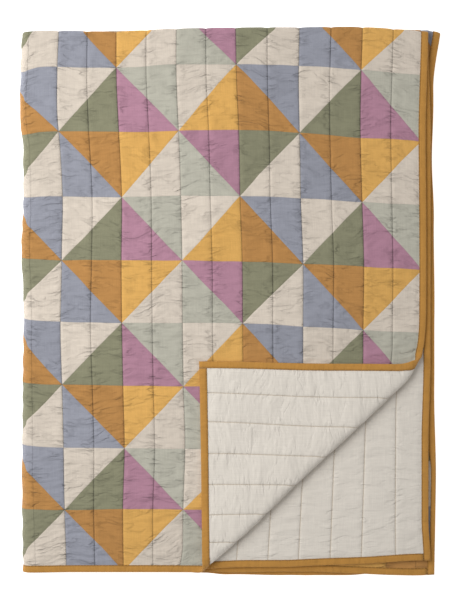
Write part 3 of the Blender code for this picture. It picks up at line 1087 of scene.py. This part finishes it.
def pucker_group() -> bpy.types.NodeTree:
    """Fine creases that run mostly across the channels, strongest near a seam. Seam is the distance to one.

    Returns:
        The group.
    """
    graph, given, result = new_group("fine_puckers", ["Cloth", "Seam"], ["Height", "Crease"])
    x, y = graph.separate(given["Cloth"])
    y = graph.plus(y, graph.times(graph.noise(given["Cloth"], 8.0, 1.0), 0.05))
    lines = graph.noise(graph.scaled(x, y, 30.0, 84.0), 1.0)
    fold = graph.span(graph.apart(lines, 0.5), 0.0, 0.1, 1.0, 0.0)
    near = graph.span(given["Seam"], 0.0, 0.02, 1.0, 0.5)
    some = graph.span(graph.noise(graph.scaled(x, y, 26.0, 48.0, 3.0), 1.0, 1.0), 0.44, 0.58)
    # Crease marks the troughs; the patchwork also paints shade into them with it.
    crease = graph.times(graph.times(fold, some), near)
    wide = graph.noise(graph.scaled(x, y, 16.0, 50.0), 1.0)
    height = graph.minus(graph.times(wide, 2.2), graph.times(crease, 0.5))
    height = graph.plus(height, graph.times(graph.times(lines, near), 1.6))
    graph.fill(result, {"Height": height, "Crease": crease})
    return graph.tree


def stitch_group() -> bpy.types.NodeTree:
    """A line of machine stitches. Distance is to the line and Along is the place on it, in metres.

    Returns:
        The group.
    """
    graph, given, result = new_group(
        "stitch_line", ["Distance", "Along", "Length"], ["Height", "Thread", "Groove"]
    )
    place = graph.math("FRACT", graph.math("DIVIDE", given["Along"], given["Length"]))
    stitch = graph.span(graph.apart(place, 0.5), 0.34, 0.46, 1.0, 0.0)
    thread = graph.times(stitch, graph.span(given["Distance"], 0.00022, 0.0005, 1.0, 0.0))
    # Groove marks the sewn groove; the patchwork and the binding paint shade along it.
    groove = graph.span(given["Distance"], 0.0, 0.0013, 1.0, 0.0)
    pull = graph.times(groove, graph.plus(graph.times(stitch, -0.35), 1.0))
    height = graph.minus(graph.times(thread, 0.5), pull)
    graph.fill(result, {"Height": height, "Thread": thread, "Groove": groove})
    return graph.tree


@dataclass(frozen=True)
class SharedEffects:
    """The node groups that more than one finish uses."""

    weave: bpy.types.NodeTree
    pucker: bpy.types.NodeTree
    stitch: bpy.types.NodeTree

    @classmethod
    def make(cls) -> SharedEffects:
        """Builds each group once."""
        return cls(weave_group(), pucker_group(), stitch_group())


def cloth_material(name: str, roughness: float) -> tuple[bpy.types.Material, Graph, bpy.types.Node, Socket]:
    """Starts a cotton material.

    Args:
        name: The material's name.
        roughness: Its roughness.

    Returns:
        The material, its graph, its shader and the cloth's own coordinates.
    """
    material = bpy.data.materials.new(name)
    material.use_nodes = True
    graph = Graph(material.node_tree)
    shader = graph.tree.nodes["Principled BSDF"]
    sheen = {"Specular IOR Level": 0.2, "Sheen Weight": 0.12, "Sheen Roughness": 0.5}
    graph.fill(shader, {"Roughness": roughness, **sheen})
    place = graph.add("ShaderNodeUVMap", {})
    place.uv_map = UV_NAME
    return material, graph, shader, place.outputs[0]


@dataclass(frozen=True)
class QuiltedCotton:
    """A quilted face's material in the making, with the values that its finish reads."""

    material: bpy.types.Material
    graph: Graph
    shader: bpy.types.Node
    column: Socket
    row: Socket
    metres: Socket
    weave: Mapping[str, Socket]
    stitches: Mapping[str, Socket]
    pucker: Mapping[str, Socket]


@dataclass(frozen=True)
class CottonFinish:
    """What every cotton of the blanket shares: its weave, its stitches and its cloudy shade.

    A size that ends with change says how much something lightens or darkens the cloth, and one that ends with
    height how high its relief is, in metres.
    """

    name: str = "cotton"
    roughness: float = 0.9
    threads: float = 1300.0
    slub: float = 0.75
    stitch: float = 0.003
    cloud_scale: float = 20.0
    cloud_detail: float = 3.0
    cloud_rough: float = 0.6
    cloud_change: float = 0.1
    weave_change: float = 0.35
    least_shade: float = 0.95
    pucker_height: float = 0.0014
    stitch_height: float = 0.0005
    weave_height: float = 0.0002

    def shade(self, graph: Graph, place: Socket, weave: Mapping[str, Socket]) -> Socket:
        """Works out how light the cloth is.

        Args:
            graph: The material's graph.
            place: Places on the cloth, in metres.
            weave: What the weave's group gives.

        Returns:
            The shade.
        """
        cloudy = graph.noise(place, self.cloud_scale, self.cloud_detail, self.cloud_rough)
        shade = graph.plus(graph.times(cloudy, self.cloud_change), graph.times(weave["Tone"], self.weave_change))
        return graph.plus(shade, self.least_shade)


@dataclass(frozen=True)
class QuiltedFinish(CottonFinish):
    """What both faces of the quilt share: puckers and straight lines of quilting."""

    patch_width: float = 0.1018
    patch_length: float = 0.106

    def start(self, shared: SharedEffects) -> QuiltedCotton:
        """Places the shared effects.

        Args:
            shared: The node groups for weave, puckers and stitches.

        Returns:
            The material in the making.
        """
        material, graph, shader, place = cloth_material(self.name, self.roughness)
        column, row = graph.separate(place)
        metres = graph.scaled(column, row, self.patch_width, self.patch_length)
        seam = graph.times(graph.from_whole(graph.times(column, 2.0)), self.patch_width / 2)
        along = graph.times(row, self.patch_length)
        weave = graph.group(shared.weave, {"Cloth": metres, "Threads": self.threads, "Slub": self.slub})
        stitches = graph.group(shared.stitch, {"Distance": seam, "Along": along, "Length": self.stitch})
        pucker = graph.group(shared.pucker, {"Cloth": metres, "Seam": seam})
        return QuiltedCotton(material, graph, shader, column, row, metres, weave, stitches, pucker)


@dataclass(frozen=True)
class PatchworkFinish(QuiltedFinish):
    """The pieced front: squares of two triangles, in seven cottons.

    The quilted lines darken it, partly as thread and partly as painted shade in their grooves, by
    line_thread_and_shadow_changes, from the left to the right of line_columns, and by tone_changes times that on
    cottons from the dark to the light end of tone_range. The seams between triangles and the creases are darkened as
    painted shade too.
    """

    name: str = "pieced_cotton"
    roughness: float = 0.88
    seam_wander: float = 0.035
    seam_wander_scale: float = 14.0
    edge_wander: float = 0.02
    edge_wander_scale: float = 30.0
    dye_change: float = 0.07
    cloud_scale: float = 26.0
    cloud_change: float = 0.16
    weave_change: float = 0.42
    least_shade: float = 0.885
    join_reach: float = 0.0011
    # Painted shade: how much the seams between triangles darken, as the shade in their valleys.
    seam_shadow_change: float = 0.06
    join_depth: float = 0.4
    allowance: tuple[float, float] = (0.004, 0.0065)
    allowance_height: float = 0.25
    line_columns: tuple[float, float] = (8.55, 8.75)
    # Painted shade and thread: how much the quilted lines darken.
    line_thread_and_shadow_changes: tuple[float, float] = (0.08, 0.38)
    tone_range: tuple[float, float] = (0.3, 0.58)
    tone_changes: tuple[float, float] = (1.2, 0.62)
    # Painted shade: how much the creases' troughs darken.
    crease_shadow_change: float = 0.17
    pucker_height: float = 0.0026
    sewn_height: float = 0.0006
    weave_height: float = 0.00022
    pairs: tuple[tuple[Tone, Tone], ...] = (
        (Tone.GREEN, Tone.CREAM),
        (Tone.OCHRE, Tone.BLUE),
        (Tone.GOLD, Tone.CREAM),
        (Tone.MAUVE, Tone.SAGE),
        (Tone.BLUE, Tone.OCHRE),
        (Tone.CREAM, Tone.GREEN),
        (Tone.SAGE, Tone.MAUVE),
        (Tone.CREAM, Tone.GOLD),
    )

    def choose(self, graph: Graph, index: Socket) -> Socket:
        """The cotton of a triangle.

        Args:
            graph: The material's graph.
            index: Its pair's number doubled, plus one for the second of the pair.

        Returns:
            The cotton's colour.
        """
        node = graph.tree.nodes.new("ShaderNodeValToRGB")
        node.color_ramp.interpolation = "CONSTANT"
        stops = node.color_ramp.elements
        cottons = [tone for pair in self.pairs for tone in pair]
        while len(stops) < len(cottons):
            stops.new(len(stops) / len(cottons))
        for number, tone in enumerate(cottons):
            stops[number].position = number / len(cottons)
            stops[number].color = (*tone.value, 1)
        place = graph.math("DIVIDE", graph.plus(index, 0.5), float(len(cottons)))
        return graph.fill(node, {0: place}).outputs[0]

    def patches(self, cotton: QuiltedCotton) -> tuple[Socket, Socket, Socket]:
        """Cuts the face into squares of two triangles.

        Args:
            cotton: The material in the making.

        Returns:
            Each triangle's colour, its own number, and the distance to the nearest seam between triangles.
        """
        graph, column, metres = cotton.graph, cotton.column, cotton.metres
        wander = graph.times(graph.minus(graph.noise(metres, self.seam_wander_scale, 1.0), 0.5), self.seam_wander)
        row = graph.plus(cotton.row, wander)
        across, down = graph.math("FRACT", column), graph.math("FRACT", row)
        column_number, row_number = graph.math("FLOOR", column), graph.math("FLOOR", row)
        kind = graph.math("FLOORED_MODULO", column_number, 4.0)
        odd = graph.math("FLOORED_MODULO", row_number, 2.0)
        falling = graph.math("FLOORED_MODULO", graph.plus(kind, odd), 2.0)
        rising_edge = graph.minus(1.0, graph.plus(across, down))
        falling_edge = graph.minus(across, down)
        edge = graph.plus(rising_edge, graph.times(falling, graph.minus(falling_edge, rising_edge)))
        wander = graph.times(graph.minus(graph.noise(metres, self.edge_wander_scale, 1.0), 0.5), self.edge_wander)
        edge = graph.plus(edge, wander)
        second = graph.math("LESS_THAN", edge, 0.0)
        pair = graph.plus(kind, graph.times(odd, 4.0))
        colour = self.choose(graph, graph.plus(graph.times(pair, 2.0), second))
        row_seam = graph.times(graph.from_whole(row), self.patch_length)
        slant_seam = graph.times(graph.math("ABSOLUTE", edge), self.patch_width / math.sqrt(2))
        number = graph.combine(column_number, row_number, second)
        return colour, number, graph.math("MINIMUM", row_seam, slant_seam)

    def make(self, shared: SharedEffects) -> bpy.types.Material:
        """Builds the material.

        Args:
            shared: The node groups for weave, puckers and stitches.

        Returns:
            The finished material.
        """
        cotton = self.start(shared)
        graph = cotton.graph
        colour, number, joins = self.patches(cotton)
        join = graph.span(joins, 0.0, self.join_reach, 1.0, 0.0)
        allowance = graph.span(joins, *self.allowance, 1.0, 0.0)
        dye = graph.add("ShaderNodeTexWhiteNoise", {0: number}).outputs[0]
        shade = graph.plus(self.shade(graph, cotton.metres, cotton.weave), graph.times(dye, self.dye_change))
        # Painted shade in the valleys of the seams between triangles.
        shade = graph.times(shade, graph.minus(1.0, graph.times(join, self.seam_shadow_change)))
        # The quilted lines darken, partly as thread and partly as painted shade in their grooves.
        dark = graph.span(cotton.column, *self.line_columns, *self.line_thread_and_shadow_changes)
        dark = graph.times(dark, graph.span(graph.brightness(colour), *self.tone_range, *self.tone_changes))
        line = graph.times(cotton.stitches["Groove"], dark)
        # Painted shade in the troughs of the creases.
        line = graph.plus(line, graph.times(cotton.pucker["Crease"], self.crease_shadow_change))
        shade = graph.times(shade, graph.minus(1.0, line))
        graph.fill(cotton.shader, {"Base Color": graph.shaded(colour, shade)})
        sewn = graph.minus(graph.times(allowance, self.allowance_height), graph.times(join, self.join_depth))
        sewn = graph.plus(sewn, cotton.stitches["Height"])
        layers = [(cotton.pucker["Height"], self.pucker_height), (sewn, self.sewn_height)]
        graph.relief(cotton.shader, [*layers, (cotton.weave["Height"], self.weave_height)])
        return cotton.material


@dataclass(frozen=True)
class BackingFinish(QuiltedFinish):
    """The plain pale back, with the quilting thread showing on it."""

    name: str = "backing_cotton"
    thread: tuple[float, float, float, float] = (0.52, 0.40, 0.26, 1)
    thread_share: float = 0.5

    def make(self, shared: SharedEffects) -> bpy.types.Material:
        """Builds the material.

        Args:
            shared: The node groups for weave, puckers and stitches.

        Returns:
            The finished material.
        """
        cotton = self.start(shared)
        graph, stitches = cotton.graph, cotton.stitches
        colour = graph.shaded((*Tone.BACKING.value, 1), self.shade(graph, cotton.metres, cotton.weave))
        tinted = graph.times(stitches["Groove"], self.thread_share)
        graph.fill(cotton.shader, {"Base Color": graph.mix(tinted, colour, self.thread)})
        layers = [(cotton.pucker["Height"], self.pucker_height), (stitches["Height"], self.stitch_height)]
        graph.relief(cotton.shader, [*layers, (cotton.weave["Height"], self.weave_height)])
        return cotton.material


@dataclass(frozen=True)
class BindingFinish(CottonFinish):
    """The tan strip folded over the edges, sewn down along its inner side."""

    name: str = "edging_cotton"
    roughness: float = 0.86
    threads: float = 1500.0
    slub: float = 0.55
    stitch: float = 0.0028
    stitch_place: float = 0.0106
    catch: float = 0.0056
    catch_place: float = 0.0122
    catch_thinning: float = 0.4
    catch_change: float = 0.45
    # Painted shade: how much the stitched groove darkens.
    groove_shadow_change: float = 0.14
    cloud_scale: float = 40.0
    cloud_change: float = 0.3
    weave_change: float = 0.5
    least_shade: float = 0.85
    ripple_scales: tuple[float, float] = (160.0, 60.0)
    ripple_height: float = 0.0016
    stitch_height: float = 0.0004

    def make(self, shared: SharedEffects) -> bpy.types.Material:
        """Builds the material, whose coordinates are metres along the strip and in from its edge.

        Args:
            shared: The node groups for weave, puckers and stitches.

        Returns:
            The finished material.
        """
        material, graph, shader, place = cloth_material(self.name, self.roughness)
        along, inwards = graph.separate(place)
        weave = graph.group(shared.weave, {"Cloth": place, "Threads": self.threads, "Slub": self.slub})
        to_line = graph.apart(inwards, self.stitch_place)
        stitches = graph.group(shared.stitch, {"Distance": to_line, "Along": along, "Length": self.stitch})
        to_line = graph.times(graph.apart(inwards, self.catch_place), self.catch_thinning)
        catches = graph.group(shared.stitch, {"Distance": to_line, "Along": along, "Length": self.catch})
        shade = self.shade(graph, place, weave)
        # Painted shade along the stitched groove.
        shade = graph.minus(shade, graph.times(stitches["Groove"], self.groove_shadow_change))
        shade = graph.minus(shade, graph.times(catches["Thread"], self.catch_change))
        graph.fill(shader, {"Base Color": graph.shaded((*Tone.BINDING.value, 1), shade)})
        ripple = graph.noise(graph.scaled(along, inwards, *self.ripple_scales), 1.0)
        layers = [(ripple, self.ripple_height), (stitches["Height"], self.stitch_height)]
        graph.relief(shader, [*layers, (weave["Height"], self.weave_height)])
        return material


class Edge(Enum):
    """The four bound edges of the flat cloth."""

    RIGHT = "right"
    LEFT = "left"
    NEAR = "near"
    FAR = "far"


@dataclass
class BindingStrip:
    """One strip of the binding, folded over an edge of the quilt. Where the left one curls up, it looks narrower."""

    edge: Edge
    folding: Folding
    stations: list[float]
    wall: float = 0.0008
    half: float = 0.00225
    rounding: float = 0.0013
    curl_from: float = 0.69
    curl_to: float = 0.88
    curl_ease: float = 0.04
    curl_share: float = 0.3
    ripple_height: float = 0.00012
    ripple_rate: float = 310.0
    ripple_drift: float = 2.0
    ripple_drift_rate: float = 83.0
    below_offset: float = 0.05
    least: float = 0.00001

    @property
    def name(self) -> str:
        """The name of the piece."""
        return f"edging_{self.edge.value}"

    @property
    def node(self) -> str:
        """The solid that the piece stands for."""
        return f"binding_{self.edge.value}"

    def section(self) -> list[tuple[float, float]]:
        """The strip's U-shaped section.

        Returns:
            (distance in from the outer edge, s) of the points round it.
        """
        width, inner = self.folding.cut.binding, self.half - self.wall
        upper = [
            (self.wall, inner * 0.6),
            (self.wall * 2, inner),
            (width * 0.55, inner),
            (width - 0.0003, inner),
            (width, inner + self.wall * 0.5),
            (width - 0.0004, self.half - 0.0001),
            (width - 0.0013, self.half),
            (width - 0.0017, self.half - 0.00022),
            (width - 0.0022, self.half),
            (width * 0.6, self.half + 0.0001),
            (width * 0.35, self.half + 0.0001),
            (self.rounding, self.half - 0.00008),
            (self.rounding * 0.55, self.half * 0.86),
            (self.rounding * 0.16, self.half * 0.52),
            (0.0, self.half * 0.16),
        ]
        return upper + [(inwards, -s) for inwards, s in reversed(upper)]

    def flat_place(self, station: Array, inwards: Array) -> tuple[Array, Array]:
        """Lays points of the strip on the flat cloth.

        Args:
            station: Places along the strip.
            inwards: Distances in from its edge.

        Returns:
            The u and v of each point.
        """
        cut = self.folding.cut
        if self.edge is Edge.NEAR:
            return station, inwards - cut.near
        if self.edge is Edge.FAR:
            return station, cut.far - inwards
        u = cut.right - inwards
        if self.edge is Edge.LEFT:
            curled = rise(station, (self.curl_from, self.curl_ease)) * rise(-station, (-self.curl_to, self.curl_ease))
            u = inwards * (1 - self.curl_share * curled) - cut.left
        return u, cut.skewed(u, station, self.folding.lip_skew)

    def build(self) -> bpy.types.Object:
        """Makes a grid of section points by stations, closes it to a tube and folds it.

        Returns:
            The strip.
        """
        section = np.array(self.section())
        section = np.concatenate([section, section[:1]])
        strip, index = new_grid(self.name, len(section), len(self.stations))
        inwards, station = np.meshgrid(section[:, 0], self.stations)
        s = np.broadcast_to(section[:, 1], inwards.shape)
        drift = self.ripple_drift * np.sin(station * self.ripple_drift_rate)
        ripple = self.ripple_height * np.sin(station * self.ripple_rate + drift)
        u, v = self.flat_place(station, inwards)
        move_points(strip.data, self.folding.place(u, v, s * (1 + ripple / self.half)), index)
        along = station + np.where(s > 0, 0.0, self.below_offset)
        paint_uv(strip.data, along.ravel()[index], inwards.ravel()[index])
        self.close(strip)
        finish_mesh(strip)
        return strip

    def close(self, strip: bpy.types.Object) -> None:
        """Joins the tube's open seam and fills its two ends.

        Args:
            strip: The object of the tube. Not used: the operators work on the active object.
        """
        bpy.ops.object.mode_set(mode="EDIT")
        bpy.ops.mesh.select_all(action="SELECT")
        bpy.ops.mesh.remove_doubles(threshold=self.least)
        bpy.ops.mesh.select_all(action="DESELECT")
        bpy.ops.mesh.select_mode(type="EDGE")
        bpy.ops.mesh.select_non_manifold()
        bpy.ops.mesh.fill_holes(sides=0)
        bpy.ops.mesh.select_all(action="SELECT")
        bpy.ops.mesh.normals_make_consistent(inside=False)
        bpy.ops.object.mode_set(mode="OBJECT")


@dataclass
class Quilt:
    """The whole blanket: its two faces and its four binding strips."""

    cut: Cut
    folding: Folding
    shared: SharedEffects
    edge_margin: float = 0.004
    lip: float = 0.0045
    front_offsets: tuple[float, ...] = (0.0, 0.0008, 0.0022, 0.0052, 0.0105, 0.0180)
    front_shares: tuple[float, ...] = (0.0, 0.05, 0.5, 0.95)
    front_fine: float = 0.0026
    front_coarse: float = 0.028
    front_creases: tuple[Creases, ...] = (Creases(1000, 11, (-0.02, 0.67), (-0.9, -0.01)),)
    back_offsets: tuple[float, ...] = (0.0, 0.0008, 0.0018, 0.0034, 0.0064, 0.0115, 0.018, 0.02545)
    back_shares: tuple[float, ...] = (0.0, 0.05, 0.2, 0.5, 0.8, 0.95)
    back_fine: float = 0.0034
    back_coarse: float = 0.022
    back_from: float = 0.25
    back_creases: tuple[Creases, ...] = (
        Creases(150, 23, (0.28, 0.68), (-0.92, -0.5), depth=(0.0002, 0.0008), width=(0.003, 0.005)),
        Creases(120, 29, (0.3, 0.68), (0.5, 0.9), depth=(0.0002, 0.0009), width=(0.0026, 0.0045)),
    )
    corner_margin: float = 0.04
    strip_spacing: float = 0.0045
    strip_lip_spacing: float = 0.0008
    side_turn: float = 0.045
    side_turn_spacing: float = 0.0015
    butt_gap: float = 0.0004

    def front(self) -> bpy.types.Object:
        """The pieced front.

        Returns:
            Its object.
        """
        lines = GridLines(self.cut, self.folding)
        near, far = -self.cut.near + self.edge_margin, self.cut.far - self.edge_margin
        columns = lines.columns(self.front_offsets, self.front_shares, self.cut.nose_seam)
        rows = lines.rows([(near, -self.lip, self.front_fine), (self.lip, far, self.front_coarse)])
        return ClothSheet("patchwork_front", Side.FRONT, self.folding, columns, rows, self.front_creases).build()

    def back(self) -> bpy.types.Object:
        """The plain back.

        Returns:
            Its object.
        """
        lines = GridLines(self.cut, self.folding)
        near, far = -self.cut.near + self.edge_margin, self.cut.far - self.edge_margin
        corner = self.cut.corner_side + self.corner_margin
        bands = [
            (near, corner - self.cut.near, self.back_fine),
            (corner - self.cut.near, -self.lip, self.back_coarse),
            (self.lip, self.cut.far - corner, self.back_coarse),
            (self.cut.far - corner, far, self.back_fine),
        ]
        columns = lines.columns(self.back_offsets, self.back_shares, self.back_from)
        rows = lines.rows(bands)
        return ClothSheet("plain_back", Side.BACK, self.folding, columns, rows, self.back_creases).build()

    def strips(self) -> list[bpy.types.Object]:
        """The four binding strips: the side ones run full length and the end ones butt against them.

        Returns:
            Their objects.
        """
        cut, inset = self.cut, self.cut.binding + self.butt_gap
        sides = self.stations(-cut.near, cut.far, self.lip, self.strip_lip_spacing)
        ends = self.stations(-cut.left + inset, cut.right - inset, self.side_turn, self.side_turn_spacing)
        made = [
            BindingStrip(edge, self.folding, sides if edge in (Edge.RIGHT, Edge.LEFT) else ends) for edge in Edge
        ]
        return [self.take(strip.build(), strip.node) for strip in made]

    def stations(self, low: float, high: float, turn: float, spacing: float) -> list[float]:
        """Places along a strip from low to high, which have a closer spacing up to turn from its fold."""
        before, after = steps(low, -turn, self.strip_spacing), steps(turn, high, self.strip_spacing)
        return [*before, *steps(-turn, turn, spacing), *after, high]

    def take(self, piece: bpy.types.Object, node: str) -> bpy.types.Object:
        """Lets a piece ride on the blanket.

        Args:
            piece: The piece.
            node: The solid that it stands for.

        Returns:
            The piece.
        """
        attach(piece, BODY)
        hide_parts(node)
        LOG.info("%s: %d faces", piece.name, len(piece.data.polygons))
        return piece

    def build(self) -> None:
        """Builds and dresses every piece of the blanket."""
        front = self.take(self.front(), "quilt")
        front.data.materials.append(PatchworkFinish().make(self.shared))
        back = self.take(self.back(), "quilt")
        back.data.materials.append(BackingFinish().make(self.shared))
        strips = self.strips()
        edging = BindingFinish().make(self.shared)
        for strip in strips:
            strip.data.materials.append(edging)


@dataclass
class Studio:
    """The floor, the light and the camera that looks straight down."""

    floor_size: float = 12.0
    floor_tone: tuple[float, float, float, float] = (0.93, 0.93, 0.93, 1)
    floor_roughness: float = 0.9
    floor_shine: float = 0.1
    floor_glow: float = 0.75
    camera_height: float = 2.82
    camera_place: tuple[float, float] = (-0.0031, -0.0015)
    lens: float = 100.0
    film_width: float = 36.0
    key_place: tuple[float, float, float] = (-0.975, 0.39, 1.287)
    key_size: float = 1.6
    key_strength: float = 24.8
    fill_strength: float = 0.43
    white: tuple[float, float, float, float] = (1, 1, 1, 1)

    def floor(self) -> None:
        """A plain pale floor."""
        bpy.ops.object.select_all(action="DESELECT")
        bpy.ops.mesh.primitive_plane_add(size=self.floor_size, location=(0, 0, 0))
        floor = bpy.context.active_object
        floor.name = "studio_floor"
        material = bpy.data.materials.new("studio_paper")
        material.use_nodes = True
        graph = Graph(material.node_tree)
        glow = {"Emission Color": self.white, "Emission Strength": self.floor_glow}
        paper = {"Base Color": self.floor_tone, "Roughness": self.floor_roughness}
        graph.fill(graph.tree.nodes["Principled BSDF"], {**paper, "Specular IOR Level": self.floor_shine, **glow})
        floor.data.materials.append(material)

    def lights(self) -> None:
        """A soft key from the upper left and an even fill."""
        bpy.ops.object.light_add(type="AREA", location=self.key_place)
        key = bpy.context.active_object
        key.name = "key_light"
        key.data.shape = "DISK"
        key.data.size = self.key_size
        key.data.energy = self.key_strength
        key.rotation_euler = (-Vector(self.key_place)).to_track_quat("-Z", "Y").to_euler()
        world = bpy.data.worlds.new("studio_fill")
        bpy.context.scene.world = world
        world.use_nodes = True
        backdrop = world.node_tree.nodes["Background"]
        Graph(world.node_tree).fill(backdrop, {"Color": self.white, "Strength": self.fill_strength})

    def camera(self) -> None:
        """The camera, level with the floor and square to the blanket."""
        bpy.ops.object.camera_add(location=(*self.camera_place, self.camera_height), rotation=(0, 0, 0))
        camera = bpy.context.active_object
        camera.name = "camera"
        camera.data.lens = self.lens
        camera.data.sensor_width = self.film_width
        bpy.context.scene.camera = camera
        bpy.context.scene.view_settings.view_transform = "Standard"

    def build(self) -> None:
        """Sets up the studio."""
        self.floor()
        self.lights()
        self.camera()


def main() -> None:
    """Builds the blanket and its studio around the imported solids."""
    logging.basicConfig(level=logging.INFO, format="%(message)s")
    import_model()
    shared = SharedEffects.make()
    cut = Cut()
    Quilt(cut, Folding(cut, Stray(cut)), shared).build()
    Studio().build()


if __name__ == "__main__":
    main()
